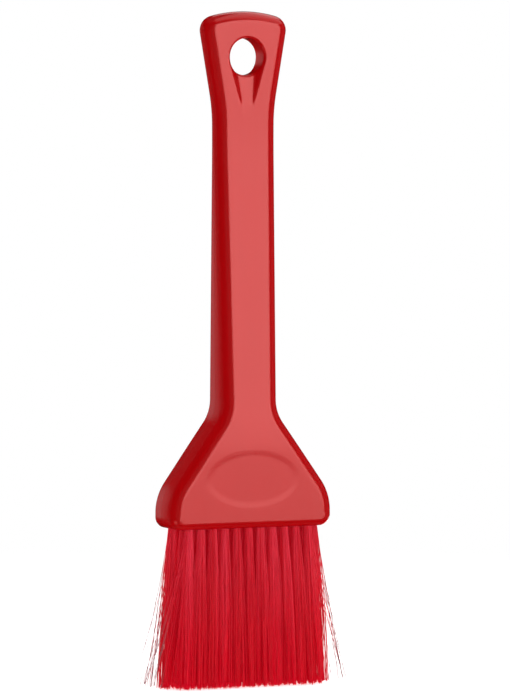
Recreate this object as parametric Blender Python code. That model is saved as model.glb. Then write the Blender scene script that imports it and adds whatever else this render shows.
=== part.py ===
"""Pastry brush: a one-piece moulded handle drilled for its tufts, and the bristle tufts.

Metres, +Z up. The brush hangs upright with its bristles down. The origin is the centre of
the hang hole, X runs across the brush's width, and the front face looks along -Y.
"""

import math

import bmesh
import bpy
from mathutils import Vector

MM = 0.001

# Handle outline, seen from the front; lengths along the handle start at the hang hole
CROWN_ABOVE_HOLE = 13.7 * MM
CROWN_RADIUS = 42.0 * MM
CROWN_CORNER_RADIUS = 4.5 * MM
END_WIDTH = 30.0 * MM
WAIST_BELOW_HOLE = 15.8 * MM
WAIST_WIDTH = 19.9 * MM
WAIST_RADIUS = 58.0 * MM
NECK_BELOW_HOLE = 108.1 * MM
NECK_WIDTH = 18.1 * MM
NECK_RADIUS = 12.0 * MM
SHOULDER_ANGLE = math.radians(35.5)
SHOULDER_RADIUS = 16.0 * MM
BLOCK_WIDTH = 54.0 * MM
BLOCK_SIDE_HEIGHT = 9.8 * MM
BLOCK_CORNER_RADIUS = 3.8 * MM

# Handle thickness, and the roundings of its long edges and of the block's lower edges
END_THICKNESS = 7.1 * MM
BLOCK_THICKNESS = 15.0 * MM
TAPER_START_BELOW_HOLE = 19.0 * MM
TAPER_END_ABOVE_BASE = 21.0 * MM
TAPER_EASE = 0.12
EDGE_RADIUS = 3.5 * MM
BASE_RADIUS = 2.0 * MM
LEAST_EDGE_LAND = 0.05 * MM

# Hang hole, and the shallow ramp that leads into it on both faces
HANG_HOLE_DIAMETER = 11.8 * MM
HANG_HOLE_RIM_RADIUS = 0.5 * MM
RAMP_LENGTH = 14.6 * MM
RAMP_DEPTH = 1.35 * MM
RAMP_TOP_WIDTH = 7.4 * MM
RAMP_END_WIDTH = 3.8 * MM
RAMP_WALL_RUN = 1.1

# Tuft holes in the block's lower face: a long middle row and a shorter row on each side
OUTER_ROW_TUFTS = 11
MIDDLE_ROW_TUFTS = 13
TUFT_HOLE_DIAMETER = 2.4 * MM
TUFT_HOLE_DEPTH = 8.5 * MM
DRILL_POINT_DEPTH = 0.4 * MM
SIDE_MARGIN = 3.4 * MM
FACE_MARGIN = 3.3 * MM

# Bristles
FREE_LENGTH = 48.3 * MM
TUFT_CLEARANCE = 0.3 * MM
NECK_OF_TUFT = 0.6 * MM
TUFT_SPREAD_LENGTH = 30.0 * MM
FAN_WIDTH = 2.4 * MM
FAN_DEPTH = 1.2 * MM
TIP_SQUARENESS = 4.0
FLEX_PIVOT_SHARE = 0.15

# Facets
HOLE_SIDES = 12
TUFT_SIDES = 12
HANG_HOLE_SIDES = 32
EDGE_STEPS = 4
CUTTER_OVERRUN = 1.0 * MM


def shoulder_drop():
    """Height of the slanted part of the block, from the neck to the block's side."""
    return (BLOCK_WIDTH - NECK_WIDTH) / 2 / math.tan(SHOULDER_ANGLE)


def base_height():
    """Height of the block's lower face."""
    return -(NECK_BELOW_HOLE + shoulder_drop() + BLOCK_SIDE_HEIGHT)


def clear_scene():
    for item in list(bpy.data.objects):
        bpy.data.objects.remove(item)


def plastic(name, colour, roughness):
    material = bpy.data.materials.new(name)
    material.use_nodes = True
    shader = material.node_tree.nodes["Principled BSDF"]
    shader.inputs["Base Color"].default_value = (*colour, 1.0)
    shader.inputs["Roughness"].default_value = roughness
    shader.inputs["Metallic"].default_value = 0.0
    return material


def make_object(name, mesh_maker, material=None):
    mesh = bpy.data.meshes.new(name)
    maker = bmesh.new()
    mesh_maker(maker)
    bmesh.ops.recalc_face_normals(maker, faces=maker.faces)
    maker.to_mesh(mesh)
    maker.free()
    item = bpy.data.objects.new(name, mesh)
    bpy.context.collection.objects.link(item)
    if material:
        mesh.materials.append(material)
        mesh.shade_smooth()
        mesh.set_sharp_from_angle(angle=math.radians(32))
    return item


# ---------------------------------------------------------------- handle outline


def rim_point(point, heading, edge_radius=EDGE_RADIUS):
    """One station of the outline: its place, its inward direction and its edge radius."""
    return point, Vector((heading.y, -heading.x)), edge_radius


def turned(heading, angle):
    return Vector(
        (
            heading.x * math.cos(angle) - heading.y * math.sin(angle),
            heading.x * math.sin(angle) + heading.y * math.cos(angle),
        )
    )


def crown(waist):
    """The arched end and its round corner, down to the straight flare."""
    top = Vector((END_WIDTH / 2, CROWN_ABOVE_HOLE))
    flare = (waist - top).normalized()
    middle = Vector((0, CROWN_ABOVE_HOLE - CROWN_RADIUS))
    offset = top + Vector((flare.y, -flare.x)) * CROWN_CORNER_RADIUS - middle
    along = offset.dot(flare)
    inner = CROWN_RADIUS - CROWN_CORNER_RADIUS
    travel = -along - math.sqrt(along**2 - offset.length_squared + inner**2)
    centre = offset + flare * travel + middle
    arch = math.atan2(centre.x, centre.y - middle.y)
    last = math.atan2(-flare.y, flare.x)
    points = []
    for step in range(6):
        angle = arch * step / 6
        out = Vector((math.sin(angle), math.cos(angle)))
        heading = Vector((math.cos(angle), -math.sin(angle)))
        points.append(rim_point(middle + out * CROWN_RADIUS, heading))
    for step in range(7):
        angle = arch + (last - arch) * step / 6
        out = Vector((math.sin(angle), math.cos(angle)))
        heading = Vector((math.cos(angle), -math.sin(angle)))
        points.append(rim_point(centre + out * CROWN_CORNER_RADIUS, heading))
    return points


def rounded_corner(before, corner, after, radius, steps, last_edge_radius=EDGE_RADIUS):
    """The arc that rounds one corner of the outline, its edge radius changing evenly."""
    heading = (corner - before).normalized()
    leaving = (after - corner).normalized()
    turn = math.atan2(heading.cross(leaving), heading.dot(leaving))
    start = corner - heading * radius * math.tan(abs(turn) / 2)
    side = Vector((-heading.y, heading.x)) * math.copysign(radius, turn)
    centre = start + side
    points = []
    for step in range(steps + 1):
        share = step / steps
        place = centre + turned(start - centre, turn * share)
        edge_radius = EDGE_RADIUS + (last_edge_radius - EDGE_RADIUS) * share
        points.append(rim_point(place, turned(heading, turn * share), edge_radius))
    return points


def straight(before, after, steps):
    """Stations inside a straight run, which lets the thickness change along it."""
    start, end = before[0], after[0]
    heading = (end - start).normalized()
    return [
        rim_point(start.lerp(end, step / steps), heading) for step in range(1, steps)
    ]


def half_outline():
    """Stations along the right-hand side of the handle, from the crown to the base."""
    base = base_height()
    waist = Vector((WAIST_WIDTH / 2, -WAIST_BELOW_HOLE))
    neck = Vector((NECK_WIDTH / 2, -NECK_BELOW_HOLE))
    shoulder = Vector((BLOCK_WIDTH / 2, base + BLOCK_SIDE_HEIGHT))
    corner = Vector((BLOCK_WIDTH / 2, base))
    end = crown(waist)
    waist_arc = rounded_corner(end[-1][0], waist, neck, WAIST_RADIUS, 5)
    neck_arc = rounded_corner(waist, neck, shoulder, NECK_RADIUS, 6)
    shoulder_arc = rounded_corner(neck, shoulder, corner, SHOULDER_RADIUS, 6)
    corner_arc = rounded_corner(
        shoulder, corner, Vector((0, base)), BLOCK_CORNER_RADIUS, 6, BASE_RADIUS
    )
    return [
        *end,
        *straight(end[-1], waist_arc[0], 3),
        *waist_arc,
        *straight(waist_arc[-1], neck_arc[0], 14),
        *neck_arc,
        *straight(neck_arc[-1], shoulder_arc[0], 5),
        *shoulder_arc,
        *corner_arc,
    ]


# ---------------------------------------------------------------- handle


def eased(share, ease):
    """0 to 1 at a steady rate, with a soft start and end that each last ease."""
    share = min(max(share, 0.0), 1.0)
    if share > 0.5:
        return 1.0 - eased(1.0 - share, ease)
    rate = 1.0 / (1.0 - ease)
    if share < ease:
        return rate * share**2 / (2 * ease)
    return rate * (share - ease / 2)


def thickness(height):
    """Thickness of the handle at a height: even at the end, then growing to the block."""
    start = -TAPER_START_BELOW_HOLE
    end = base_height() + TAPER_END_ABOVE_BASE
    share = eased((height - start) / (end - start), TAPER_EASE)
    return END_THICKNESS + (BLOCK_THICKNESS - END_THICKNESS) * share


def rim_profile(station, mirrored):
    """Points round the edge at one station, from the front face to the back face."""
    place, inward, edge_radius = station
    radius = min(edge_radius, thickness(place.y) / 2 - LEAST_EDGE_LAND)
    front = []
    for step in range(EDGE_STEPS + 1):
        angle = math.pi / 2 * step / EDGE_STEPS
        across, height = place + inward * radius * (1 - math.sin(angle))
        depth = thickness(height) / 2 - radius * (1 - math.cos(angle))
        front.append((-across if mirrored else across, -depth, height))
    back = [(x, -y, z) for x, y, z in reversed(front)]
    return front + back


def handle_body(maker):
    """The whole outer shape: a rounded rim swept round the outline, and two faces."""
    right = half_outline()
    rims = [rim_profile(station, mirrored=False) for station in right]
    rims += [rim_profile(station, mirrored=True) for station in reversed(right[1:])]
    columns = [[maker.verts.new(point) for point in rim] for rim in rims]
    count = len(columns)
    for index, column in enumerate(columns):
        following = columns[(index + 1) % count]
        for row in range(len(column) - 1):
            corners = column[row], column[row + 1], following[row + 1], following[row]
            maker.faces.new(corners)
    for row in (0, -1):
        maker.faces.new([columns[i][row] for i in (0, 1, count - 1)])
        for index in range(1, len(right) - 1):
            pair = index, index + 1, count - index - 1, count - index
            maker.faces.new([columns[i][row] for i in pair])


def prism(maker, rings):
    """A closed solid through rings of points, with flat ends."""
    loops = [[maker.verts.new(point) for point in ring] for ring in rings]
    for lower, upper in zip(loops, loops[1:]):
        for index in range(len(lower)):
            after = (index + 1) % len(lower)
            maker.faces.new((lower[index], lower[after], upper[after], upper[index]))
    maker.faces.new(loops[0])
    maker.faces.new(loops[-1])


def ring_round_z(centre, radius, height, sides):
    angles = [2 * math.pi * (side + 0.5) / sides for side in range(sides)]
    return [
        (centre[0] + radius * math.cos(a), centre[1] + radius * math.sin(a), height)
        for a in angles
    ]


def hang_hole(maker):
    """The through hole with its rounded rims, as a cutter along Y."""
    half = END_THICKNESS / 2
    rim = HANG_HOLE_RIM_RADIUS
    radius = HANG_HOLE_DIAMETER / 2
    profile = [(half + CUTTER_OVERRUN, radius + rim)]
    for step in range(4):
        angle = math.pi / 2 * step / 3
        out = radius + rim * (1 - math.sin(angle))
        profile.append((half - rim * (1 - math.cos(angle)), out))
    profile = [(-depth, out) for depth, out in profile] + profile[::-1]
    angles = [2 * math.pi * side / HANG_HOLE_SIDES for side in range(HANG_HOLE_SIDES)]
    rings = [
        [(out * math.cos(a), depth, out * math.sin(a)) for a in angles]
        for depth, out in profile
    ]
    prism(maker, rings)


def ramp(maker, side):
    """A sloping recess below the hang hole, deepest at the hole, as a cutter."""
    slope = RAMP_DEPTH / (RAMP_LENGTH - HANG_HOLE_DIAMETER / 2)
    narrowing = (RAMP_TOP_WIDTH - RAMP_END_WIDTH) / 2 / RAMP_LENGTH
    sections = []
    for below in (0.0, RAMP_LENGTH + CUTTER_OVERRUN):
        depth = slope * (RAMP_LENGTH - below)
        floor = RAMP_TOP_WIDTH / 2 - narrowing * below
        mouth = floor + (depth + CUTTER_OVERRUN) * RAMP_WALL_RUN
        inside = side * (END_THICKNESS / 2 - depth)
        outside = side * (END_THICKNESS / 2 + CUTTER_OVERRUN)
        corners = (-floor, inside), (floor, inside), (mouth, outside), (-mouth, outside)
        sections.append([(x, y, -below) for x, y in corners])
    prism(maker, sections)


def tuft_holes(maker):
    """Every drilled hole, with its drill point, as one cutter."""
    base = base_height()
    radius = TUFT_HOLE_DIAMETER / 2
    for _, centre in tuft_places():
        heights = (-CUTTER_OVERRUN, radius), (TUFT_HOLE_DEPTH, radius)
        tip = (TUFT_HOLE_DEPTH + DRILL_POINT_DEPTH, radius / 5)
        prism(
            maker,
            [
                ring_round_z(centre, size, base + height, HOLE_SIDES)
                for height, size in (*heights, tip)
            ],
        )


def cut(target, name, mesh_maker):
    cutter = make_object(name, mesh_maker)
    cutter.hide_render = True
    cutter.display_type = "WIRE"
    boolean = target.modifiers.new(name, "BOOLEAN")
    boolean.operation = "DIFFERENCE"
    boolean.solver = "EXACT"
    boolean.object = cutter


def make_handle():
    material = plastic("moulded_red_plastic", (0.55, 0.008, 0.012), 0.32)
    handle = make_object("handle", handle_body, material)
    cut(handle, "cut_hang_hole", hang_hole)
    cut(handle, "cut_front_ramp", lambda maker: ramp(maker, -1))
    cut(handle, "cut_back_ramp", lambda maker: ramp(maker, 1))
    cut(handle, "cut_tuft_holes", tuft_holes)


# ---------------------------------------------------------------- tufts


def tuft_places():
    """Name and hole centre (x, y) of every tuft, row by row."""
    reach = BLOCK_WIDTH / 2 - SIDE_MARGIN
    pitch = 2 * reach / (MIDDLE_ROW_TUFTS - 1)
    row_offset = BLOCK_THICKNESS / 2 - FACE_MARGIN
    rows = (
        ("front", OUTER_ROW_TUFTS, -row_offset),
        ("middle", MIDDLE_ROW_TUFTS, 0.0),
        ("back", OUTER_ROW_TUFTS, row_offset),
    )
    places = []
    for row, count, depth in rows:
        for index in range(count):
            across = (index - (count - 1) / 2) * pitch
            places.append((f"tuft_{row}_{index + 1:02d}", (across, depth)))
    return places


def spread(centre, share):
    """Centre and half sizes of a tuft, share of the way from its root to its tip."""
    reach = BLOCK_WIDTH / 2 - SIDE_MARGIN
    row_offset = BLOCK_THICKNESS / 2 - FACE_MARGIN
    wider = 1 + FAN_WIDTH / reach * share
    deeper = 1 + FAN_DEPTH / row_offset * share
    root = TUFT_HOLE_DIAMETER / 2 - TUFT_CLEARANCE
    full = min(share * FREE_LENGTH / TUFT_SPREAD_LENGTH, 1.0)
    cell_width = reach / (MIDDLE_ROW_TUFTS - 1) * wider - TUFT_CLEARANCE / 2
    cell_depth = row_offset / 2 * deeper - TUFT_CLEARANCE / 2
    half_width = root + (cell_width - root) * full
    half_depth = root + (cell_depth - root) * full
    return (centre[0] * wider, centre[1] * deeper), half_width, half_depth, full


def tuft_ring(centre, share, height):
    """One ring of a tuft, round at the root and nearly square at the tip."""
    (x, y), half_width, half_depth, full = spread(centre, share)
    power = 2 / (2 + (TIP_SQUARENESS - 2) * full)
    ring = []
    for side in range(TUFT_SIDES):
        angle = 2 * math.pi * (side + 0.5) / TUFT_SIDES
        across, depth = math.cos(angle), math.sin(angle)
        across = math.copysign(abs(across) ** power, across)
        depth = math.copysign(abs(depth) ** power, depth)
        ring.append((x + half_width * across, y + half_depth * depth, height))
    return ring


def tuft_body(maker, centre, origin):
    """A bundle of filaments, from just below the drill point to the trimmed tip."""
    base = base_height()
    rings = [tuft_ring(centre, 0.0, base + TUFT_HOLE_DEPTH - TUFT_CLEARANCE)]
    neck = NECK_OF_TUFT / FREE_LENGTH
    full = TUFT_SPREAD_LENGTH / FREE_LENGTH
    for share in (0.0, neck, full / 3, full * 2 / 3, full, 1.0):
        rings.append(tuft_ring(centre, share, base - FREE_LENGTH * share))
    prism(maker, [[Vector(point) - origin for point in ring] for ring in rings])


def make_tufts():
    """The tufts, held by an empty on the line about which the bristles flex."""
    material = plastic("red_filament", (0.60, 0.012, 0.02), 0.45)
    pivot = Vector((0, 0, base_height() - FREE_LENGTH * FLEX_PIVOT_SHARE))
    axis = bpy.data.objects.new("bristle_flex_axis", None)
    axis.location = pivot
    bpy.context.collection.objects.link(axis)
    for name, centre in tuft_places():
        tuft = make_object(
            name, lambda maker, at=centre: tuft_body(maker, at, pivot), material
        )
        tuft.parent = axis


clear_scene()
make_handle()
make_tufts()
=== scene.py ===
"""Looks of the pastry brush: its moulding, folded filaments, anchor wires, light and camera.

Metres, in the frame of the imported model: +Z up, the origin in the centre of the hang hole,
X across the brush's width, and the front face looking along -Y.
"""

from __future__ import annotations

import logging
import math
from dataclasses import dataclass
from enum import Enum
from typing import Any, Mapping, Sequence

import bmesh
import bpy
import numpy as np
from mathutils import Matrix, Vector


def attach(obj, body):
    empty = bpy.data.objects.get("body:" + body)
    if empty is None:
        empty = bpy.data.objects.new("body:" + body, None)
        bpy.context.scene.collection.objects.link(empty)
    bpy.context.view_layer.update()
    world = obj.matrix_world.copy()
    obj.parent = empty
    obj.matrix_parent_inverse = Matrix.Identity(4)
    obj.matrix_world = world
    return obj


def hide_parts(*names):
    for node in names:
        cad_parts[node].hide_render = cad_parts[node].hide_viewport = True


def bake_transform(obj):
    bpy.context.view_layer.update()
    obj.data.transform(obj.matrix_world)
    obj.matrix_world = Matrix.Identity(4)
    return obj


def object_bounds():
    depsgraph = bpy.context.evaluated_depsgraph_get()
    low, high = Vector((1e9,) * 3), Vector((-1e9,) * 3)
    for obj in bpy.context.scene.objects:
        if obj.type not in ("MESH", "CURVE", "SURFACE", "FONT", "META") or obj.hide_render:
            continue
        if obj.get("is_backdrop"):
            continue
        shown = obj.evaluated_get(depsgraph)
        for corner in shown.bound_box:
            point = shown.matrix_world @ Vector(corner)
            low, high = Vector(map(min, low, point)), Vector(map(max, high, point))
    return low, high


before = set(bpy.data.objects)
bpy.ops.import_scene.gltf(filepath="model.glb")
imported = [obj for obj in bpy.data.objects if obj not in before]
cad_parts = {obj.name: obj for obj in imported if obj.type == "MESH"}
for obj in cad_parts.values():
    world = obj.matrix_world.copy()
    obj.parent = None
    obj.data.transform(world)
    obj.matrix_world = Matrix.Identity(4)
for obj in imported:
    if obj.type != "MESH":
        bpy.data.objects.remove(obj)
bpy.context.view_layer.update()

MM = 0.001
LOG = logging.getLogger("pastry_brush")
WHITE = (1.0, 1.0, 1.0)
Piece = bpy.types.Object
Material = bpy.types.Material
Colour = tuple[float, float, float]
Pair = tuple[float, float]
Array = np.ndarray
Dice = np.random.Generator
Heading = tuple[Vector, Vector]


class Body(Enum):
    """The bodies that pieces ride on."""

    HANDLE = "handle"
    BRISTLES = "bristles"


class Slot(Enum):
    """The record's material slots."""

    PLASTIC = "handle_plastic"
    FILAMENT = "filament"


class Row(Enum):
    """The three rows of tufts, from the front face to the back face."""

    FRONT = "front"
    MIDDLE = "middle"
    BACK = "back"


class Task(Enum):
    """What a light is there for."""

    SHEEN = "seen in gloss"
    FILL = "lights matt colour"


# -------- shader nodes


class Signal:
    """One output of a node, which Python's operators combine."""

    def __init__(self, tree: Nodes, socket: bpy.types.NodeSocket) -> None:
        """Hold a socket and the tree that it belongs to."""
        self.tree = tree
        self.socket = socket

    def math(self, operation: str, *values: Operand) -> Signal:
        """Add a Math node of an operation and its inputs, in order."""
        settings = {"operation": operation}
        return self.tree.add("ShaderNodeMath", settings, dict(enumerate(values)))

    def __add__(self, other: Operand) -> Signal:
        """Sum."""
        return self.math("ADD", self, other)

    def __radd__(self, other: Operand) -> Signal:
        """Sum, reflected."""
        return self.math("ADD", other, self)

    def __sub__(self, other: Operand) -> Signal:
        """Difference."""
        return self.math("SUBTRACT", self, other)

    def __rsub__(self, other: Operand) -> Signal:
        """Difference, reflected."""
        return self.math("SUBTRACT", other, self)

    def __mul__(self, other: Operand) -> Signal:
        """Product."""
        return self.math("MULTIPLY", self, other)

    def __rmul__(self, other: Operand) -> Signal:
        """Product, reflected."""
        return self.math("MULTIPLY", other, self)

    def between(self, low: float, high: float) -> Signal:
        """A smooth step: 0 up to low, and 1 from high on."""
        inputs = {"Value": self, "From Min": low, "From Max": high}
        return self.tree.add("ShaderNodeMapRange", {"interpolation_type": "SMOOTHSTEP"}, inputs)


Operand = Signal | float


class Nodes:
    """A node tree under construction."""

    def __init__(self, tree: bpy.types.NodeTree) -> None:
        """Hold the tree's nodes and links."""
        self.nodes = tree.nodes
        self.links = tree.links

    def add(
        self,
        kind: str,
        settings: Mapping[str, Any] | None = None,
        inputs: Mapping[str | int, Any] | None = None,
        output: str | int = 0,
    ) -> Signal:
        """Add a node of any kind.

        Args:
            kind: The node's type.
            settings: Its properties.
            inputs: Values or signals for its sockets, by name or number.
            output: The output wanted.

        Returns:
            That output.
        """
        node = self.nodes.new(kind)
        for name, value in (settings or {}).items():
            setattr(node, name, value)
        for name, value in (inputs or {}).items():
            self.feed(node.inputs[name], value)
        return Signal(self, node.outputs[output])

    def feed(self, socket: bpy.types.NodeSocket, value: Any) -> None:
        """Link a signal to a socket, or set its value.

        Args:
            socket: The input.
            value: A signal, a number or a tuple.
        """
        if isinstance(value, Signal):
            self.links.new(value.socket, socket)
        elif socket.type == "RGBA":
            socket.default_value = (*value, 1.0)
        else:
            socket.default_value = value


class Shader(Nodes):
    """A material under construction, with one Principled shader."""

    def __init__(self, name: str, **constants: Any) -> None:
        """Start a material.

        Args:
            name: Its name.
            **constants: Values of the shader's own sockets, spaces as underscores.
        """
        self.material = bpy.data.materials.new(name)
        self.material.use_nodes = True
        super().__init__(self.material.node_tree)
        self.surface = self.nodes["Principled BSDF"]
        for socket, value in constants.items():
            self.set(socket.replace("_", " "), value)

    def set(self, socket: str, value: Any) -> None:
        """Feed one of the Principled shader's own sockets."""
        self.feed(self.surface.inputs[socket], value)

    def place(self, stretch: Sequence[float] = (1.0, 1.0, 1.0)) -> Signal:
        """A point on the piece at rest, times factors along X, Y and Z."""
        inputs = {0: self.add("ShaderNodeTexCoord", output="Object"), 1: tuple(stretch)}
        return self.add("ShaderNodeVectorMath", {"operation": "MULTIPLY"}, inputs)

    def noise(self, at: Signal, size: float, detail: float = 2.0) -> Signal:
        """Cloudy noise from 0 to 1, with blots of a size in metres and finer layers on top."""
        inputs = {"Vector": at, "Scale": 1.0 / size, "Detail": detail}
        return self.add("ShaderNodeTexNoise", {}, inputs)

    def attribute(self, name: str) -> Signal:
        """A number that the mesh holds at each point."""
        return self.add("ShaderNodeAttribute", {"attribute_name": name}, output="Fac")

    def mix(self, share: Operand, low: Any, high: Any) -> Signal:
        """Mix two colours: the first where share is 0, the second where it is 1."""
        inputs = {"Factor": share, 6: low, 7: high}
        return self.add("ShaderNodeMix", {"data_type": "RGBA"}, inputs, 2)

    def bump(self, height: Signal, depth: float) -> Signal:
        """A bumped normal, from a relief of 0 to 1 and the height of 1."""
        return self.add("ShaderNodeBump", {}, {"Height": height, "Distance": depth})


# -------- finishes


@dataclass(frozen=True)
class MouldedPlastic:
    """Satin red plastic as it leaves a fine-grained mould."""

    name: str = "moulded_red_plastic"
    deep: Colour = (0.44, 0.0004, 0.0016)
    light: Colour = (0.49, 0.0006, 0.0028)
    sheen: Colour = (1.0, 0.37, 0.35)
    roughness: float = 0.15
    flow_size: float = 9.0 * MM
    flow_stretch: float = 0.35
    handling_size: float = 2.6 * MM
    handling_stretch: float = 0.5
    handling_roughness: float = 0.05
    grain_size: float = 0.16 * MM
    grain_depth: float = 0.004 * MM
    grain_roughness: float = 0.03

    def make(self) -> Material:
        """Build it.

        Returns:
            The material.
        """
        shader = Shader(self.name, IOR=1.5, Specular_Tint=self.sheen)
        flow_place = shader.place((1.0, 1.0, self.flow_stretch))
        flow = shader.noise(flow_place, self.flow_size, 3.0)
        grain = shader.noise(shader.place(), self.grain_size, 1.0)
        handling_place = shader.place((1.0, 1.0, self.handling_stretch))
        handling = shader.noise(handling_place, self.handling_size, 5.0)
        uneven = self.handling_roughness * handling + self.grain_roughness * grain
        shader.set("Base Color", shader.mix(flow, self.deep, self.light))
        shader.set("Roughness", self.roughness + uneven)
        shader.set("Normal", shader.bump(grain, self.grain_depth))
        return shader.material


@dataclass(frozen=True)
class SoftFilament:
    """Fine drawn filament, each one a little lighter or darker than the next, with painted
    sheen at the root, a faint painted glow and grey strays.
    """

    name: str = "red_filament"
    deep: Colour = (0.74, 0.0003, 0.009)
    # painted sheen: the red at the root is made paler and pinker, painting the sheen on the
    # tops of the tufts
    root_red_with_painted_sheen: Colour = (1.0, 0.064, 0.12)
    tip: Colour = (0.92, 0.001, 0.026)
    # grey for the strays, where they stand out of the brush
    stray_grey: Colour = (0.26, 0.11, 0.118)
    # painted light: the filaments give off a faint red glow of their own, in place of light
    # passing through and between them
    inner: Colour = (1.0, 0.0005, 0.03)
    painted_glow_strength: float = 0.076
    specular: float = 0.15
    root_share: float = 0.9
    roughness: float = 0.36
    tone_gloss: float = 0.05
    crimp_size: float = 1.4 * MM
    crimp_stretch: float = 0.6
    crimp_depth: float = 0.01 * MM
    crimp_roughness: float = 0.12

    def make(self) -> Material:
        """Build it.

        Returns:
            The material.
        """
        shader = Shader(
            self.name,
            IOR=1.5,
            Specular_IOR_Level=self.specular,
            # the painted glow
            Emission_Color=self.inner,
            Emission_Strength=self.painted_glow_strength,
        )
        tone = shader.attribute("tone")
        # the red runs from the root's paler, pinker painted sheen to the plain red at the tip
        along = shader.attribute("along").between(0.0, self.root_share)
        tuft_colour = shader.mix(tone, self.deep, shader.mix(along, self.root_red_with_painted_sheen, self.tip))
        crimp_place = shader.place((1.0, 1.0, self.crimp_stretch))
        crimp = shader.noise(crimp_place, self.crimp_size)
        rough = self.roughness + self.crimp_roughness * crimp - self.tone_gloss * tone
        # strays turn grey as they stand out of the brush
        shader.set("Base Color", shader.mix(shader.attribute("loose"), tuft_colour, self.stray_grey))
        shader.set("Roughness", rough)
        shader.set("Normal", shader.bump(crimp, self.crimp_depth))
        return shader.material


@dataclass(frozen=True)
class DrawnWire:
    """Flat drawn stainless wire with fine lines along it."""

    name: str = "anchor_wire"
    colour: Colour = (0.62, 0.60, 0.57)
    roughness: float = 0.3
    line_size: float = 0.05 * MM
    line_stretch: float = 0.08
    line_depth: float = 0.003 * MM
    line_roughness: float = 0.15

    def make(self) -> Material:
        """Build it.

        Returns:
            The material.
        """
        shader = Shader(self.name, Metallic=1.0, Base_Color=self.colour)
        lines = shader.noise(shader.place((self.line_stretch, 1.0, 1.0)), self.line_size)
        shader.set("Roughness", self.roughness + self.line_roughness * lines)
        shader.set("Normal", shader.bump(lines, self.line_depth))
        return shader.material


@dataclass(frozen=True)
class StudioFloor:
    """Matt white paper that fades out towards its edge."""

    name: str = "floor_paper"
    shade: Colour = (0.90, 0.90, 0.90)
    fibre_shade: Colour = (0.93, 0.93, 0.925)
    fibre_size: float = 1.5 * MM
    roughness: float = 0.9
    specular: float = 0.1
    clear_radius: float = 0.15
    fade_radius: float = 0.48
    glow: float = 0.75

    def make(self) -> Material:
        """Build it.

        Returns:
            The material.
        """
        shader = Shader(
            self.name,
            Roughness=self.roughness,
            Specular_IOR_Level=self.specular,
            Emission_Color=WHITE,
            Emission_Strength=self.glow,
        )
        fibres = shader.noise(shader.place(), self.fibre_size, 4.0)
        shader.set("Base Color", shader.mix(fibres, self.shade, self.fibre_shade))
        inputs = {0: shader.place((1.0, 1.0, 0.0))}
        radius = shader.add("ShaderNodeVectorMath", {"operation": "LENGTH"}, inputs, "Value")
        shader.set("Alpha", 1.0 - radius.between(self.clear_radius, self.fade_radius))
        return shader.material


# -------- mesh helpers


def linked(name: str, data: bpy.types.ID) -> Piece:
    """Put new data in the scene.

    Args:
        name: The object's name.
        data: Its mesh, light or camera.

    Returns:
        The object.
    """
    item = bpy.data.objects.new(name, data)
    bpy.context.scene.collection.objects.link(item)
    return item


def mesh_object(name: str, points: Any, faces: Any, material: Material | None = None) -> Piece:
    """Make an object from points and faces.

    Args:
        name: The piece's name.
        points: Its vertices, in metres.
        faces: Vertex numbers of each face.
        material: Its finish, if it has one.

    Returns:
        The object, linked to the scene.
    """
    mesh = bpy.data.meshes.new(name)
    mesh.from_pydata(points, [], faces)
    mesh.update()
    if material:
        mesh.materials.append(material)
    return linked(name, mesh)


def circle(sides: int) -> tuple[Array, Array]:
    """Cosines and sines of evenly spaced turns."""
    angles = np.linspace(0, 2 * math.pi, sides, endpoint=False)
    return np.cos(angles), np.sin(angles)


def loft(rings: Sequence[Sequence[Any]], closed_ends: bool = True) -> tuple[list, list]:
    """Points and faces of a skin through rings of equal length.

    Args:
        rings: The rings, in order.
        closed_ends: Whether the first and last rings get a flat face.

    Returns:
        The points and the faces.
    """
    count = len(rings[0])
    points = [point for ring in rings for point in ring]
    faces = []
    for row in range(len(rings) - 1):
        for index in range(count):
            after = (index + 1) % count
            low, high = row * count, (row + 1) * count
            faces.append((low + index, low + after, high + after, high + index))
    if closed_ends:
        faces.append(tuple(range(count)))
        faces.append(tuple(range((len(rings) - 1) * count, len(rings) * count)))
    return points, faces


def face_outwards(item: Piece) -> None:
    """Turn every face of a closed mesh outwards.

    Args:
        item: The mesh's object.
    """
    maker = bmesh.new()
    maker.from_mesh(item.data)
    bmesh.ops.recalc_face_normals(maker, faces=maker.faces)
    maker.to_mesh(item.data)
    maker.free()


def carve(item: Piece, cutter: Piece) -> None:
    """Cut one mesh out of another for good.

    Args:
        item: The mesh that is cut.
        cutter: The shape that goes, which is removed afterwards.
    """
    face_outwards(cutter)
    boolean = item.modifiers.new(cutter.name, "BOOLEAN")
    boolean.operation = "DIFFERENCE"
    boolean.solver = "EXACT"
    boolean.object = cutter
    graph = bpy.context.evaluated_depsgraph_get()
    result = bpy.data.meshes.new_from_object(item.evaluated_get(graph))
    item.modifiers.remove(boolean)
    item.data = result
    bpy.data.objects.remove(cutter)


def smooth_step(value: Any, low: float, high: float) -> Any:
    """A smooth step of a number or an array: 0 up to low, and 1 from high on."""
    share = np.clip((value - low) / (high - low), 0.0, 1.0)
    return share * share * (3.0 - 2.0 * share)


def soft_floor(value: Any, ease: float) -> Any:
    """The value where it is above 0, else 0, with the corner rounded over ease."""
    return (value + np.sqrt(value * value + ease * ease)) / 2


# -------- handle


@dataclass(frozen=True)
class Station:
    """One place on the outline, which way it runs there, and its edge radius."""

    place: Vector
    heading: Vector
    edge_radius: float

    @property
    def inward(self) -> Vector:
        """Square to the outline, towards the middle of the handle."""
        return Vector((self.heading.y, -self.heading.x))


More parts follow.
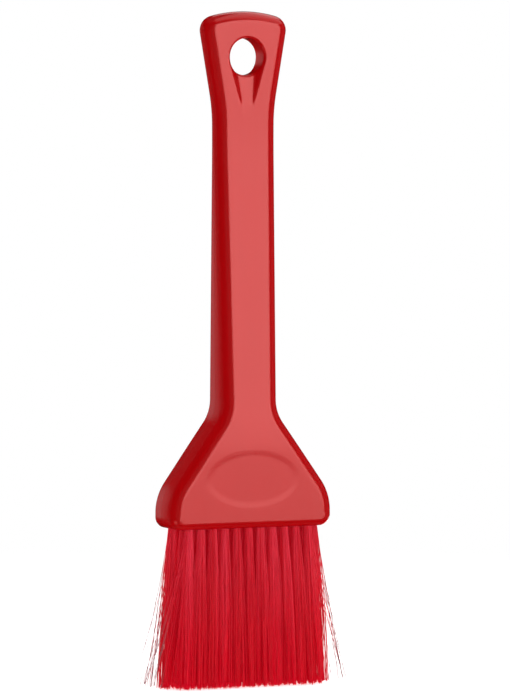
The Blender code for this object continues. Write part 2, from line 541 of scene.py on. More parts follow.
@dataclass
class HandleShape:
    """Sizes of the moulding, and the outline and thickness that they give."""

    crown_above_hole: float = 13.7 * MM
    crown_radius: float = 42.0 * MM
    crown_corner_radius: float = 4.5 * MM
    end_width: float = 30.0 * MM
    waist_below_hole: float = 15.8 * MM
    waist_width: float = 19.9 * MM
    waist_radius: float = 58.0 * MM
    neck_below_hole: float = 108.1 * MM
    neck_width: float = 18.1 * MM
    neck_radius: float = 12.0 * MM
    shoulder_angle: float = math.radians(35.5)
    shoulder_radius: float = 16.0 * MM
    block_width: float = 54.0 * MM
    block_side_height: float = 9.8 * MM
    block_corner_radius: float = 3.8 * MM
    end_thickness: float = 7.1 * MM
    block_thickness: float = 15.0 * MM
    taper_start_below_hole: float = 19.0 * MM
    taper_end_above_base: float = 21.0 * MM
    taper_ease: float = 0.12
    edge_radius: float = 3.5 * MM
    base_radius: float = 2.0 * MM
    least_edge_land: float = 0.05 * MM
    hang_hole_diameter: float = 11.8 * MM
    ramp_length: float = 14.6 * MM
    ramp_depth: float = 1.35 * MM
    ramp_top_width: float = 7.4 * MM
    ramp_end_width: float = 3.8 * MM
    ramp_wall_run: float = 1.1
    ramp_edge_ease: float = 0.22 * MM
    ramp_foot_ease: float = 1.6
    ramp_start: Pair = (0.3 * MM, 2.6 * MM)

    def base_height(self) -> float:
        """Height of the block's lower face."""
        drop = (self.block_width - self.neck_width) / 2 / math.tan(self.shoulder_angle)
        return -(self.neck_below_hole + drop + self.block_side_height)

    def thickness(self, height: Any) -> Any:
        """Thickness: even at the end, then growing to the block.

        Args:
            height: One height or an array of them.

        Returns:
            The thickness there.
        """
        start = -self.taper_start_below_hole
        end = self.base_height() + self.taper_end_above_base
        share = np.clip((np.asarray(height, float) - start) / (end - start), 0.0, 1.0)
        near = np.minimum(share, 1.0 - share)
        ease = self.taper_ease
        soft = near**2 / (2 * ease)
        risen = np.where(near < ease, soft, near - ease / 2) / (1 - ease)
        risen = np.where(share > 0.5, 1.0 - risen, risen)
        growth = self.block_thickness - self.end_thickness
        return self.end_thickness + growth * risen

    def recess(self, across: Any, height: Any) -> Any:
        """Depth of the ramp below the face, with its edges eased.

        Args:
            across: X.
            height: Z.

        Returns:
            The depth, 0 away from the ramp.
        """
        below = -np.asarray(height, float)
        slope = self.ramp_depth / (self.ramp_length - self.hang_hole_diameter / 2)
        narrowing = (self.ramp_top_width - self.ramp_end_width) / 2 / self.ramp_length
        depth = slope * (self.ramp_length - below)
        beyond = np.abs(across) - (self.ramp_top_width / 2 - narrowing * below)
        ease = self.ramp_edge_ease
        foot = soft_floor(beyond, ease * self.ramp_foot_ease)
        wall = depth - foot / self.ramp_wall_run
        eased = soft_floor(wall, ease) - soft_floor(np.full_like(wall, -1.0), ease)
        started = smooth_step(below, *self.ramp_start)
        return eased * started * smooth_step(wall, -4 * ease, -ease)

    def surface(self, across: Any, height: Any) -> Any:
        """How far a broad face is from the middle plane at (across, height)."""
        return self.thickness(height) / 2 - self.recess(across, height)

    def crown(self, waist: Vector) -> list[Heading]:
        """The arched end and its round corner.

        Args:
            waist: Where the flare would meet the handle's straight side.

        Returns:
            Pairs of a place and the outline's heading.
        """
        top = Vector((self.end_width / 2, self.crown_above_hole))
        flare = (waist - top).normalized()
        middle = Vector((0, self.crown_above_hole - self.crown_radius))
        corner = self.crown_corner_radius
        offset = top + Vector((flare.y, -flare.x)) * corner - middle
        along = offset.dot(flare)
        inner = self.crown_radius - corner
        travel = -along - math.sqrt(along**2 - offset.length_squared + inner**2)
        centre = offset + flare * travel + middle
        arch = math.atan2(centre.x, centre.y - middle.y)
        last = math.atan2(-flare.y, flare.x)
        arcs = (
            (middle, self.crown_radius, np.linspace(0, arch, 25)[:-1]),
            (centre, corner, np.linspace(arch, last, 15)),
        )
        points = []
        for round_what, radius, angles in arcs:
            for angle in angles:
                out = Vector((math.sin(angle), math.cos(angle)))
                heading = Vector((math.cos(angle), -math.sin(angle)))
                points.append((round_what + out * radius, heading))
        return points

    def half_outline(self) -> list[Station]:
        """The outline's right-hand side, from the crown to the base.

        Returns:
            Its stations.
        """
        base = self.base_height()
        waist = Vector((self.waist_width / 2, -self.waist_below_hole))
        neck = Vector((self.neck_width / 2, -self.neck_below_hole))
        shoulder = Vector((self.block_width / 2, base + self.block_side_height))
        corner = Vector((self.block_width / 2, base))
        middle = Vector((0, base))
        last_radius = self.block_corner_radius
        end = self.crown(waist)
        waist_arc = rounded_corner(end[-1][0], waist, neck, self.waist_radius, 40)
        neck_arc = rounded_corner(waist, neck, shoulder, self.neck_radius, 16)
        shoulder_arc = rounded_corner(neck, shoulder, corner, self.shoulder_radius, 20)
        last_arc = rounded_corner(shoulder, corner, middle, last_radius, 14)
        path = [
            *end,
            *straight(end[-1], waist_arc[0], 92),
            *waist_arc,
            *straight(waist_arc[-1], neck_arc[0], 96),
            *neck_arc,
            *straight(neck_arc[-1], shoulder_arc[0], 24),
            *shoulder_arc,
            *last_arc,
        ]
        radii = np.full(len(path), self.edge_radius)
        radii[-len(last_arc) :] = np.linspace(radii[0], self.base_radius, len(last_arc))
        return [Station(*point, float(radius)) for point, radius in zip(path, radii)]


def turned(heading: Vector, angle: float) -> Vector:
    """A plane vector turned to the left by an angle."""
    cos, sin = math.cos(angle), math.sin(angle)
    return Vector((heading.x * cos - heading.y * sin, heading.x * sin + heading.y * cos))


def rounded_corner(
    before: Vector, corner: Vector, after: Vector, radius: float, steps: int
) -> list[Heading]:
    """The arc that rounds one corner of the outline.

    Args:
        before: A point on the straight run into the corner.
        corner: The sharp corner.
        after: A point on the run out of it.
        radius: The arc's radius.
        steps: How many pieces the arc is made of.

    Returns:
        Pairs of a place and the outline's heading.
    """
    heading = (corner - before).normalized()
    leaving = (after - corner).normalized()
    turn = math.atan2(heading.cross(leaving), heading.dot(leaving))
    start = corner - heading * radius * math.tan(abs(turn) / 2)
    centre = start + Vector((-heading.y, heading.x)) * math.copysign(radius, turn)
    angles = np.linspace(0.0, turn, steps + 1)
    return [(centre + turned(start - centre, a), turned(heading, a)) for a in angles]


def straight(before: Heading, after: Heading, steps: int) -> list[Heading]:
    """Points inside a straight run between two points of the outline.

    Args:
        before: The point and heading that it leaves.
        after: The point and heading that it reaches.
        steps: How many pieces the run is made of.

    Returns:
        The points between, with their heading.
    """
    heading = (after[0] - before[0]).normalized()
    shares = np.linspace(0.0, 1.0, steps + 1)[1:-1]
    return [(before[0].lerp(after[0], share), heading) for share in shares]


@dataclass
class Handle:
    """The one-piece handle and brush block."""

    shape: HandleShape
    columns: int = 64
    edge_steps: int = 10
    crease_angle: float = math.radians(38)
    seam_height: float = 0.035 * MM
    seam_spread: float = 0.07 * MM
    seam_levels: tuple[float, ...] = (-0.2, -0.11, -0.05, 0.0, 0.05, 0.11, 0.2)
    hole_sides: int = 112
    hole_rim_radius: float = 0.75 * MM
    hole_draft: float = 0.3 * MM
    hole_flare: float = 0.2 * MM
    cutter_reach: float = 1.0 * MM
    tuft_hole_diameter: float = 2.4 * MM
    tuft_hole_depth: float = 8.5 * MM
    tuft_hole_point: float = 0.4 * MM
    tuft_hole_sides: int = 28
    tuft_mouth: float = 0.14 * MM
    pad_width: float = 31.0 * MM
    pad_height: float = 18.0 * MM
    pad_above_base: float = 15.0 * MM
    pad_depth: float = 0.04 * MM
    pad_lip: float = 2.2 * MM
    pad_sides: int = 144

    def rim(self, at: Station, mirrored: bool) -> list[tuple[float, float, float]]:
        """Points round the edge at one station, from front to back.

        Args:
            at: The station.
            mirrored: Whether it is on the left-hand side.

        Returns:
            The points.
        """
        half = float(self.shape.thickness(at.place.y)) / 2
        radius = min(at.edge_radius, half - self.shape.least_edge_land)
        steps = range(self.edge_steps)
        turns = [math.pi / 2 * step / self.edge_steps for step in steps]
        arc = [(radius * (1 - math.sin(a)), radius * (1 - math.cos(a))) for a in turns]
        profile = [(inset, drop, -1) for inset, drop in arc]
        profile += [(None, level * MM, 0) for level in self.seam_levels]
        profile += [(inset, drop, 1) for inset, drop in reversed(arc)]
        points = []
        for inset, drop, side in profile:
            if side:
                across, height = at.place + at.inward * inset
                depth = side * (float(self.shape.thickness(height)) / 2 - drop)
            else:
                bulge = max(abs(drop) - (half - radius), 0.0)
                inset = radius - math.sqrt(radius**2 - bulge**2)
                inset -= self.seam_height * math.exp(-((drop / self.seam_spread) ** 2))
                across, height = at.place + at.inward * inset
                depth = drop
            points.append((-across if mirrored else across, depth, height))
        return points

    def body(self) -> Piece:
        """The whole outer skin, before any hole is cut.

        Returns:
            The object.
        """
        right = self.shape.half_outline()
        last = right[-1]
        across = np.linspace(last.place.x, -last.place.x, self.columns + 1)[1:-1]
        low = [
            Station(Vector((x, last.place.y)), Vector((-1, 0)), last.edge_radius)
            for x in across
        ]
        rims = [self.rim(one, False) for one in right + low]
        rims += [self.rim(one, True) for one in reversed(right[1:])]
        count, depth = len(rims), len(rims[0])
        points, faces = loft([list(rim) for rim in zip(*rims)], closed_ends=False)
        rows = len(right)
        for level, side in ((0, -1), (depth - 1, 1)):
            first = level * count
            grid = [[first] * (self.columns + 1)]
            for row in range(1, rows):
                x, _, z = points[first + row]
                line = np.linspace(x, -x, self.columns + 1)[1:-1]
                if row == rows - 1:
                    inner = [first + row + k for k in range(1, self.columns)]
                else:
                    inner = list(range(len(points), len(points) + len(line)))
                    away = self.shape.surface(line, np.full_like(line, z))
                    points += [(a, side * b, z) for a, b in zip(line, away)]
                grid.append([first + row, *inner, first + count - row])
            for upper, lower in zip(grid, grid[1:]):
                for k in range(self.columns):
                    corners = upper[k], upper[k + 1], lower[k + 1], lower[k]
                    faces.append(tuple(dict.fromkeys(corners)))
        item = mesh_object("brush_handle", points, faces)
        face_outwards(item)
        return item

    def hang_hole(self) -> Piece:
        """The hang hole, its rim rounded to follow each face.

        Returns:
            The cutter.
        """
        rim = self.hole_rim_radius
        radius = self.shape.hang_hole_diameter / 2 - self.hole_draft
        lip = [(-self.cutter_reach, radius + rim + self.hole_flare)]
        for angle in np.linspace(0, math.pi / 2, 9):
            lip.append((rim * (1 - math.cos(angle)), radius + rim * (1 - math.sin(angle))))
        cos, sin = circle(self.hole_sides)
        rings = []
        for side, stretch in ((-1, lip), (1, lip[::-1])):
            for sunk, out in stretch:
                x, z = out * cos, out * sin
                y = side * (self.shape.surface(x, z) - sunk)
                rings.append(list(zip(x, y, z)))
        return mesh_object("cut_hang_hole", *loft(rings))

    def pad(self) -> Piece:
        """A blank oval dish in the front of the block.

        Returns:
            The cutter.
        """
        centre = self.shape.base_height() + self.pad_above_base
        lip = self.pad_lip
        across, up = self.pad_width / 2 - lip, self.pad_height / 2 - lip
        slope = np.linspace(0.0, 1.0, 9)[1:]
        fall = smooth_step(slope, 0.0, 1.0) * self.pad_depth
        ovals = [(-0.6 * MM, across + lip * 1.5, up + lip * 1.5)]
        ovals += [(-0.01 * MM, across + lip * 1.02, up + lip * 1.02)]
        ovals += [(d, across + lip * (1 - s), up + lip * (1 - s)) for d, s in zip(fall, slope)]
        shares = (0.9, 0.75, 0.6, 0.45, 0.3, 0.15, 0.04)
        ovals += [(self.pad_depth, across * share, up * share) for share in shares]
        cos, sin = circle(self.pad_sides)
        rings = []
        for sunk, wide, high in ovals:
            x, z = wide * cos, high * sin + centre
            rings.append(list(zip(x, sunk - self.shape.surface(x, z), z)))
        return mesh_object("cut_pad", *loft(rings))

    def tuft_holes(self, places: Sequence[Pair]) -> Piece:
        """Every drilled tuft hole, its mouth slightly eased, as one cutter.

        Args:
            places: The centre of each hole.

        Returns:
            The cutter.
        """
        base, radius = self.shape.base_height(), self.tuft_hole_diameter / 2
        mouth, depth = self.tuft_mouth, self.tuft_hole_depth
        profile = (
            (-self.cutter_reach, radius + mouth),
            (0.0, radius + mouth),
            (mouth * 0.3, radius + mouth * 0.3),
            (mouth, radius),
            (depth, radius),
            (depth + self.tuft_hole_point, radius / 5),
        )
        turns = list(zip(*circle(self.tuft_hole_sides)))
        points: list = []
        faces: list = []
        for x, y in places:
            rings = [[(x + r * c, y + r * s, base + z) for c, s in turns] for z, r in profile]
            more, skin = loft(rings)
            faces += [tuple(index + len(points) for index in face) for face in skin]
            points += more
        return mesh_object("cut_tuft_holes", points, faces)

    def build(self, places: Sequence[Pair], material: Material) -> Piece:
        """Make the moulding, dress it and fix it to its body.

        Args:
            places: The centre of each tuft hole.
            material: Its finish.

        Returns:
            The piece.
        """
        item = self.body()
        for cutter in (self.hang_hole(), self.pad(), self.tuft_holes(places)):
            carve(item, cutter)
        item.data.materials.clear()
        item.data.materials.append(material)
        item.data.shade_smooth()
        item.data.set_sharp_from_angle(angle=self.crease_angle)
        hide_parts("handle")
        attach(item, Body.HANDLE.value)
        return item


# -------- tufts


@dataclass(frozen=True)
class TuftPlace:
    """Where one tuft stands."""

    row: Row
    number: int
    centre: Pair
    outermost: int

    @property
    def label(self) -> str:
        """The row and number, as the nodes are named."""
        return f"{self.row.value}_{self.number:02d}"


@dataclass
class TuftPattern:
    """The drilled pattern: a long middle row and a shorter row on each side."""

    shape: HandleShape
    outer_row_tufts: int = 11
    middle_row_tufts: int = 13
    side_margin: float = 3.4 * MM
    face_margin: float = 3.3 * MM

    @property
    def reach(self) -> float:
        """From the middle to the last hole of the middle row."""
        return self.shape.block_width / 2 - self.side_margin

    @property
    def row_offset(self) -> float:
        """From the middle row to an outer row."""
        return self.shape.block_thickness / 2 - self.face_margin

    @property
    def pitch(self) -> float:
        """From one hole to the next in a row."""
        return 2 * self.reach / (self.middle_row_tufts - 1)

    def places(self) -> list[TuftPlace]:
        """Every tuft, row by row.

        Returns:
            The places.
        """
        rows = (
            (Row.FRONT, self.outer_row_tufts, -self.row_offset),
            (Row.MIDDLE, self.middle_row_tufts, 0.0),
            (Row.BACK, self.outer_row_tufts, self.row_offset),
        )
        found = []
        for row, count, depth in rows:
            for index in range(count):
                across = (index - (count - 1) / 2) * self.pitch
                end = -1 if index == 0 else 1 if index == count - 1 else 0
                found.append(TuftPlace(row, index + 1, (across, depth), end))
        return found


@dataclass
class Bristles:
    """All the tufts: filaments folded over their anchors and trimmed level."""

    pattern: TuftPattern
    seed: int = 7
    filaments_per_tuft: int = 80
    filament_diameter: float = 0.15 * MM
    sides: int = 3
    hole_radius: float = 1.2 * MM
    root_scatter: float = 0.12
    anchor_above_base: float = 6.3 * MM
    anchor_height: float = 1.5 * MM
    anchor_thickness: float = 0.34 * MM
    anchor_bite: float = 0.12 * MM
    anchor_chamfer: float = 0.06 * MM
    fold_drop: float = 0.5 * MM
    fold_rise: float = 0.45
    free_length: float = 48.3 * MM
    trim: float = 0.24 * MM
    fan_width: float = 2.4 * MM
    fan_depth: float = 1.2 * MM
    opening: float = 2.0
    cell_overlap: float = 1.22
    scatter: float = 0.16 * MM
    clumps: int = 6
    clumps_start: float = 0.25
    gather: Pair = (0.3, 0.75)
    bow: float = 0.16 * MM
    wave: float = 0.05 * MM
    wave_turns: float = 1.3
    wave_start: float = 0.3
    lean_bend: float = 1.7
    tone_evenness: float = 2.2
    streak_width: float = 1.1 * MM
    streaks: int = 73
    streak_share: float = 0.65
    levels: tuple[float, ...] = (
        0.0, 0.05, 0.1, 0.15, 0.2, 0.25, 0.3, 0.4, 0.52, 0.64, 0.76, 0.88, 0.96, 1.0,
    )
    flex_share: float = 0.3
    loose_share: float = 0.2
    loose_root: float = 0.25 * MM
    loose_reach: float = 8.6 * MM
    loose_depth: float = 1.0 * MM
    loose_range: Pair = (0.25, 1.0)
    loose_bias: float = 1.5
    loose_bend: float = 1.3
    loose_thinness: float = 0.9
    loose_fade: float = 1.2 * MM
    face_share: float = 0.015
    face_root: float = 0.5 * MM
    face_reach: float = 1.6 * MM

    def build(self, material: Material) -> list[Piece]:
        """Make every tuft as one piece.

        Args:
            material: The filaments' finish.

        Returns:
            The pieces.
        """
        base = self.pattern.shape.base_height()
        bend_end = base - self.flex_share * self.free_length
        made = []
        for order, place in enumerate(self.pattern.places()):
            dice = np.random.default_rng(self.seed * 1000 + order)
            item = self.tubes(f"bristles_{place.label}", *self.filaments(place, dice))
            item.data.materials.append(material)
            item.data.shade_smooth()
            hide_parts(f"tuft_{place.label}")
            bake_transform(item)
            made.append(item)
        return made

    def roots(self, dice: Dice) -> tuple[Array, Array]:
        """Where each filament's two legs stand in the hole.

        Args:
            dice: The tuft's random numbers.

        Returns:
            The front legs and the back legs, as (x, y) pairs round the hole's centre.
        """
        count = self.filaments_per_tuft
        index = np.arange(2 * count) + 0.5
        room = self.hole_radius - self.filament_diameter * 0.75
        radius = room * np.sqrt(index / (2 * count))
        angle = index * math.pi * (3 - math.sqrt(5)) + dice.uniform(0, 2 * math.pi)
        spots = np.stack([radius * np.cos(angle), radius * np.sin(angle)], axis=1)
        spots += dice.normal(0, self.filament_diameter * self.root_scatter, spots.shape)
        order = np.argsort(spots[:, 1])
        front, back = spots[order[:count]], spots[order[count:]]
        front = front[np.argsort(front[:, 0], kind="stable")]
        back = back[np.argsort(back[:, 0], kind="stable")]
        return front, back

    def legs(self, place: TuftPlace, roots: Array, dice: Dice) -> Array:
        """The free part of some legs, from the hole's mouth to the tips.

        Args:
            place: The tuft.
            roots: Where the legs stand in the hole.
            dice: The tuft's random numbers.

        Returns:
            Points, by leg and level.
        """
        pattern, count = self.pattern, len(roots)
        levels = np.array(self.levels)[None, :, None]
        cell = np.array([pattern.pitch / 2, pattern.row_offset / 2])
        edge = np.array([pattern.reach, pattern.row_offset])
        fan = np.array([self.fan_width, self.fan_depth]) / edge
        spread = square_from_disc(roots / self.hole_radius) * cell * self.cell_overlap
        spread += dice.normal(0, self.scatter, roots.shape)
        clumps = spread[dice.integers(0, count, self.clumps)]
        nearest = np.linalg.norm(spread[:, None] - clumps, axis=2).argmin(axis=1)
        gather = dice.uniform(*self.gather, (count, 1))
        tips = spread + (clumps[nearest] - spread) * gather
        opened = 1 - (1 - levels) ** self.opening
        gathered = smooth_step(levels, self.clumps_start, 1.0)
        free = spread[:, None] * (1 - gathered) + tips[:, None] * gathered
        middle = np.array(place.centre) * (1 + fan * levels)
        flat = middle + roots[:, None] * (1 - opened) + free * opened
        flat += dice.normal(0, self.bow, (count, 1, 2)) * np.sin(math.pi * levels)
        wave = dice.normal(0, self.wave, (count, 1, 2))
        turns = levels * self.wave_turns + dice.uniform(0, 1, (count, 1, 1))
        wave = wave * np.sin(2 * math.pi * turns)
        flat += wave * smooth_step(levels, 0.0, self.wave_start)
        flat += self.strays(place, roots, dice) * levels**self.loose_bend
        uneven = dice.normal(0, self.trim, count).clip(-3 * self.trim, 2 * self.trim)
        down = levels[..., 0]
        height = pattern.shape.base_height() - down * (self.free_length + uneven)[:, None]
        lean = np.linalg.norm(flat[:, -1] - flat[:, 0], axis=1)
        height += down**self.lean_bend * (lean**2 / (2 * self.free_length))[:, None]
        return np.concatenate([flat, height[..., None]], axis=2)

    def strays(self, place: TuftPlace, roots: Array, dice: Dice) -> Array:
        """How far each leg's tip stands out of the brush.

        Args:
            place: The tuft.
            roots: Where the legs stand in the hole.
            dice: The tuft's random numbers.

        Returns:
            Offsets at the tips, most of them 0.
        """
        count = len(roots)
        out = np.zeros((count, 1, 2))
        chance = dice.uniform(0, 1, count)
        reach = dice.uniform(*self.loose_range, count) ** self.loose_bias
        if place.outermost:
            outside = roots[:, 0] * place.outermost > self.loose_root
            loose = outside & (chance < self.loose_share)
            furthest = self.loose_reach + self.pattern.reach - abs(place.centre[0])
            out[loose, 0, 0] = place.outermost * furthest * reach[loose]
            out[loose, 0, 1] = dice.normal(0, self.loose_depth, int(loose.sum()))
        if place.row is not Row.MIDDLE:
            side = -1 if place.row is Row.FRONT else 1
            outside = roots[:, 1] * side > self.face_root
            loose = outside & (chance > 1 - self.face_share)
            out[loose, 0, 1] = side * self.face_reach * reach[loose]
        return out

    def filaments(self, place: TuftPlace, dice: Dice) -> tuple[Array, Array]:
        """Every filament of a tuft: up one side of its anchor, over it and down.

        Args:
            place: The tuft.
            dice: Its random numbers.

        Returns:
            Points by filament and level, and each filament's tone.
        """
        front, back = self.roots(dice)
        down = self.legs(place, front, dice)
        up = self.legs(place, back, dice)
        anchor = self.pattern.shape.base_height() + self.anchor_above_base
        top = anchor + self.anchor_height - self.fold_drop
        gap = self.anchor_thickness / 2 + self.filament_diameter * 0.6
        half = np.maximum(np.abs(front[:, 1] - back[:, 1]) / 2, gap)
        fold = []
        for angle in np.linspace(0.0, math.pi, 5):
            turn = (1 - math.cos(angle)) / 2
            x = front[:, 0] * (1 - turn) + back[:, 0] * turn + place.centre[0]
            y = place.centre[1] - half * math.cos(angle)
            z = top + half * math.sin(angle) * self.fold_rise
            fold.append(np.stack([x, y, z], axis=1))
        path = np.concatenate([down[:, ::-1], np.stack(fold, axis=1), up], axis=1)
        knots = (np.arange(self.streaks) - self.streaks // 2) * self.streak_width
        streaks = np.random.default_rng(self.seed).uniform(0, 1, self.streaks)
        streak = np.interp(down[:, -1, 0], knots, streaks)
        own = dice.beta(self.tone_evenness, self.tone_evenness, len(front))
        return path, own + (streak - own) * self.streak_share

    def tubes(self, name: str, paths: Array, tones: Array) -> Piece:
        """Skin every path of a tuft as a fine tube, in one mesh.

        Args:
            name: The piece's name.
            paths: Points by filament and level.
            tones: Each filament's tone.

        Returns:
            The object.
        """
        count, levels, _ = paths.shape
        tangent = np.gradient(paths, axis=1)
        tangent /= np.linalg.norm(tangent, axis=2, keepdims=True)
        side = np.cross(tangent, np.array([1.0, 0.0, 0.0]))
        side /= np.linalg.norm(side, axis=2, keepdims=True)
        other = np.cross(tangent, side)
        turn = np.arange(self.sides) * 2 * math.pi / self.sides
        turn = turn[None, :] + np.linspace(0, 6.28, count)[:, None]
        cos, sin = np.cos(turn)[:, None, :, None], np.sin(turn)[:, None, :, None]
        loose = self.looseness(paths)
        radius = self.filament_diameter / 2 * (1 - (1 - self.loose_thinness) * loose)
        ring = (side[:, :, None] * cos + other[:, :, None] * sin) * radius[..., None, None]
        points = paths[:, :, None] + ring
        index = np.arange(count * levels * self.sides)
        index = index.reshape(count, levels, self.sides)
        after = np.roll(index, -1, axis=2)
        corners = [index[:, :-1], after[:, :-1], after[:, 1:], index[:, 1:]]
        faces = np.stack(corners, axis=-1).reshape(-1, 4).tolist()
        faces += index[:, 0, ::-1].tolist() + index[:, -1].tolist()
        item = mesh_object(name, points.reshape(-1, 3).tolist(), faces)
        face_outwards(item)
        base = self.pattern.shape.base_height()
        along = np.clip((base - points[..., 2]) / self.free_length, 0, 1)
        tone, loose = tones[:, None, None], loose[:, :, None]
        for label, value in (("along", along), ("tone", tone), ("loose", loose)):
            layer = item.data.attributes.new(label, "FLOAT", "POINT")
            values = np.broadcast_to(value, along.shape).astype(np.float32)
            layer.data.foreach_set("value", values.ravel())
        return item

    def looseness(self, paths: Array) -> Array:
        """How far each point stands out of the brush, 0 inside and 1 well outside.

        Args:
            paths: Points by filament and level.

        Returns:
            The values, by filament and level.
        """
        shape = self.pattern.shape
        down = np.clip((shape.base_height() - paths[..., 2]) / self.free_length, 0, 1)
        edge = self.pattern.reach + self.pattern.pitch / 2 + self.fan_width * down
        return smooth_step(np.abs(paths[..., 0]) - edge, 0.0, self.loose_fade)

    def anchors(self, material: Material) -> list[Piece]:
        """The flat wire in the fold of every tuft, its ends biting into the hole.

        Args:
            material: The wire's finish.

        Returns:
            The pieces.
        """
        low = self.pattern.shape.base_height() + self.anchor_above_base
        half, cut = self.hole_radius + self.anchor_bite, self.anchor_chamfer
        ends = (-half, cut), (cut - half, 0.0), (half - cut, 0.0), (half, cut)
        made = []
        for place in self.pattern.places():
            x, y = place.centre
            rings = []
            for across, inset in ends:
                thick = self.anchor_thickness / 2 - inset
                bottom, top = low + inset, low + self.anchor_height - inset
                right = [
                    (thick - cut, bottom), (thick, bottom + cut),
                    (thick, top - cut), (thick - cut, top),
                ]
                corners = right + [(-depth, z) for depth, z in reversed(right)]
                rings.append([(x + across, y + depth, z) for depth, z in corners])
            item = mesh_object(f"anchor_{place.label}", *loft(rings), material)
            face_outwards(item)
            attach(item, Body.HANDLE.value)
            made.append(item)
        return made


def square_from_disc(spots: Array) -> Array:
    """Stretch points of the unit disc over the unit square, evenly.

    Args:
        spots: The points.

    Returns:
        The points in the square.
    """
    radius = np.linalg.norm(spots, axis=1, keepdims=True)
    largest = np.abs(spots).max(axis=1, keepdims=True)
    return spots * radius / np.maximum(largest, 1e-9)


# -------- studio


@dataclass(frozen=True)
class Softbox:
    """A diffused light that faces the brush."""

    name: str
    azimuth: float
    elevation: float
    radiance: float
    task: Task = Task.FILL
    distance: float = 1.6
    width: float = 2.0
    height: float = 2.0

    def build(self, aim: Vector) -> None:
        """Make the light.

        Args:
            aim: The point that it faces.
        """
        lamp = bpy.data.lights.new(self.name, "AREA")
        lamp.shape = "RECTANGLE"
        lamp.size, lamp.size_y = self.width, self.height
        lamp.energy = self.radiance * math.pi * self.width * self.height
        item = linked(self.name, lamp)
        item.visible_camera = False
        item.visible_glossy = self.task is Task.SHEEN
        item.visible_diffuse = self.task is Task.FILL
        away = direction(self.azimuth, self.elevation)
        stand_facing(item, aim, away, self.distance)


def direction(azimuth: float, elevation: float) -> Vector:
    """Unit vector towards an azimuth and elevation, in degrees; azimuth 0 is in front."""
    a, e = math.radians(azimuth), math.radians(elevation)
    return Vector((math.sin(a) * math.cos(e), -math.cos(a) * math.cos(e), math.sin(e)))


def stand_facing(item: Piece, aim: Vector, away: Vector, distance: float) -> None:
    """Stand a light or a camera so that it faces a point.

    Args:
        item: What is placed.
        aim: The point.
        away: Direction from the point to the item.
        distance: How far it stands.
    """
    item.location = aim + away * distance
    item.rotation_mode = "QUATERNION"
    item.rotation_quaternion = away.to_track_quat("Z", "Y")


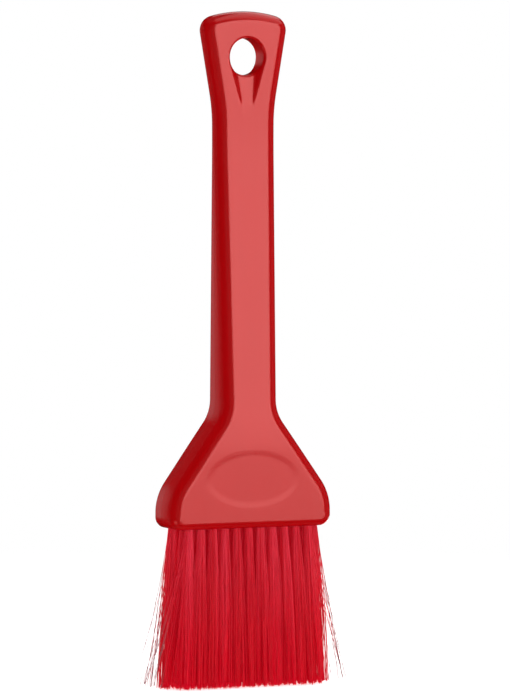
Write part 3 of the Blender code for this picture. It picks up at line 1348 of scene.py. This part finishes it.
@dataclass
class Studio:
    """Pale floor, white surroundings and large soft lights."""

    softboxes: tuple[Softbox, ...] = (
        Softbox("mirror_softbox", 25.0, 11.0, 7.3, Task.SHEEN, 20.0, 10.0, 11.9),
        Softbox("upper_softbox", 65.0, 55.0, 2.1, Task.SHEEN, width=1.6, height=1.4),
        Softbox("back_softbox", 138.0, 46.0, 2.0, Task.SHEEN, width=1.0, height=0.6),
        Softbox("low_left_softbox", -45.0, -25.0, 3.0, Task.SHEEN, width=0.8, height=0.7),
        Softbox("low_right_softbox", 135.0, -23.0, 4.0, Task.SHEEN, width=0.8, height=0.7),
        Softbox("front_fill", 0.0, 0.0, 1.8),
        Softbox("right_fill", 90.0, 0.0, 2.3),
        Softbox("back_fill", 180.0, 0.0, 1.6),
        Softbox("left_front_fill", -50.0, 0.0, 0.3),
        Softbox("left_back_fill", -130.0, 0.0, 1.8),
        Softbox("top_fill", 0.0, 89.0, 1.3),
        Softbox("low_fill", 0.0, -89.0, 1.9),
    )
    aim_height: float = -80.0 * MM
    sky_radiance: float = 0.1
    horizon_radiance: float = 0.005
    sky_rise: Pair = (0.6, 0.95)
    glow_radiance: float = 0.34
    glow_azimuth: float = -160.0
    glow_elevation: float = 4.0
    glow_rise: Pair = (0.94, 0.992)
    floor_radius: float = 0.5
    floor_middle: float = 0.02
    floor_sides: int = 96
    floor_gap: float = 0.15 * MM

    def build(self, floor_finish: Material, floor_height: float) -> None:
        """Make the floor, the world and the lights.

        Args:
            floor_finish: The floor's material.
            floor_height: Height of the lowest tips.
        """
        self.floor(floor_finish, floor_height - self.floor_gap)
        self.world()
        for softbox in self.softboxes:
            softbox.build(Vector((0.0, 0.0, self.aim_height)))

    def floor(self, material: Material, height: float) -> None:
        """A round sheet under the brush.

        Args:
            material: Its finish.
            height: Its height.
        """
        turns = list(zip(*circle(self.floor_sides)))
        radii = np.linspace(self.floor_radius, self.floor_middle, 12)
        points, faces = loft([[(r * c, r * s, 0.0) for c, s in turns] for r in radii], False)
        faces.append(tuple(range(len(points) - len(turns), len(points))))
        item = mesh_object("studio_floor", points, faces, material)
        item.location = (0.0, 0.0, height)
        item.visible_glossy = False
        item.visible_diffuse = False
        item.visible_shadow = False
        item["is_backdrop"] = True

    def world(self) -> None:
        """White to the camera; to surfaces a dim sky, a dark horizon and a glow behind."""
        world = bpy.data.worlds.new("studio_surroundings")
        bpy.context.scene.world = world
        world.use_nodes = True
        world.node_tree.nodes.clear()
        tree = Nodes(world.node_tree)
        looking = tree.add("ShaderNodeTexCoord", output="Generated")
        height = tree.add("ShaderNodeSeparateXYZ", {}, {0: looking}, "Z")
        middle = direction(self.glow_azimuth, self.glow_elevation)
        settings, inputs = {"operation": "DOT_PRODUCT"}, {0: looking, 1: middle}
        facing = tree.add("ShaderNodeVectorMath", settings, inputs, "Value")
        brighter = self.sky_radiance - self.horizon_radiance
        sky = self.horizon_radiance + brighter * height.between(*self.sky_rise)
        strength = sky + self.glow_radiance * facing.between(*self.glow_rise)
        lit = tree.add("ShaderNodeBackground", {}, {"Color": WHITE, "Strength": strength})
        seen = tree.add("ShaderNodeBackground", {}, {"Color": WHITE, "Strength": 1.0})
        to_camera = tree.add("ShaderNodeLightPath", output="Is Camera Ray")
        mixed = tree.add("ShaderNodeMixShader", {}, {0: to_camera, 1: lit, 2: seen})
        surface = tree.nodes.new("ShaderNodeOutputWorld").inputs["Surface"]
        tree.feed(surface, mixed)


@dataclass
class BrushCamera:
    """A long lens, a little to the brush's left and level with its upper end."""

    azimuth: float = -24.05
    elevation: float = 3.03
    distance: float = 1.75
    focal_length: float = 295.6114
    sensor_width: float = 36.0
    far_limit: float = 20.0
    aim_right: float = 3.7 * MM
    aim_height: float = -89.2 * MM

    def build(self) -> None:
        """Make the camera and put it to use."""
        data = bpy.data.cameras.new("brush_camera")
        data.lens, data.sensor_width = self.focal_length, self.sensor_width
        data.clip_end = self.far_limit
        item = linked("brush_camera", data)
        right = direction(self.azimuth + 90.0, 0.0)
        aim = right * self.aim_right + Vector((0, 0, self.aim_height))
        away = direction(self.azimuth, self.elevation)
        stand_facing(item, aim, away, self.distance)
        bpy.context.scene.camera = item
        bpy.context.scene.view_settings.view_transform = "Standard"


def main() -> None:
    """Build the brush, its surroundings and the camera, and report each piece."""
    logging.basicConfig(level=logging.INFO, format="%(name)s: %(message)s")
    BrushCamera().build()
    shape = HandleShape()
    pattern = TuftPattern(shape)
    bristles = Bristles(pattern)
    filament = SoftFilament().make()
    wire = DrawnWire().make()
    centres = [place.centre for place in pattern.places()]
    pieces = [Handle(shape).build(centres, MouldedPlastic().make())]
    pieces += bristles.build(filament)
    pieces += bristles.anchors(wire)
    for piece in pieces:
        LOG.info("%s: %d faces", piece.name, len(piece.data.polygons))
    Studio().build(StudioFloor().make(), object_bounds()[0].z)


if __name__ == "__main__":
    main()
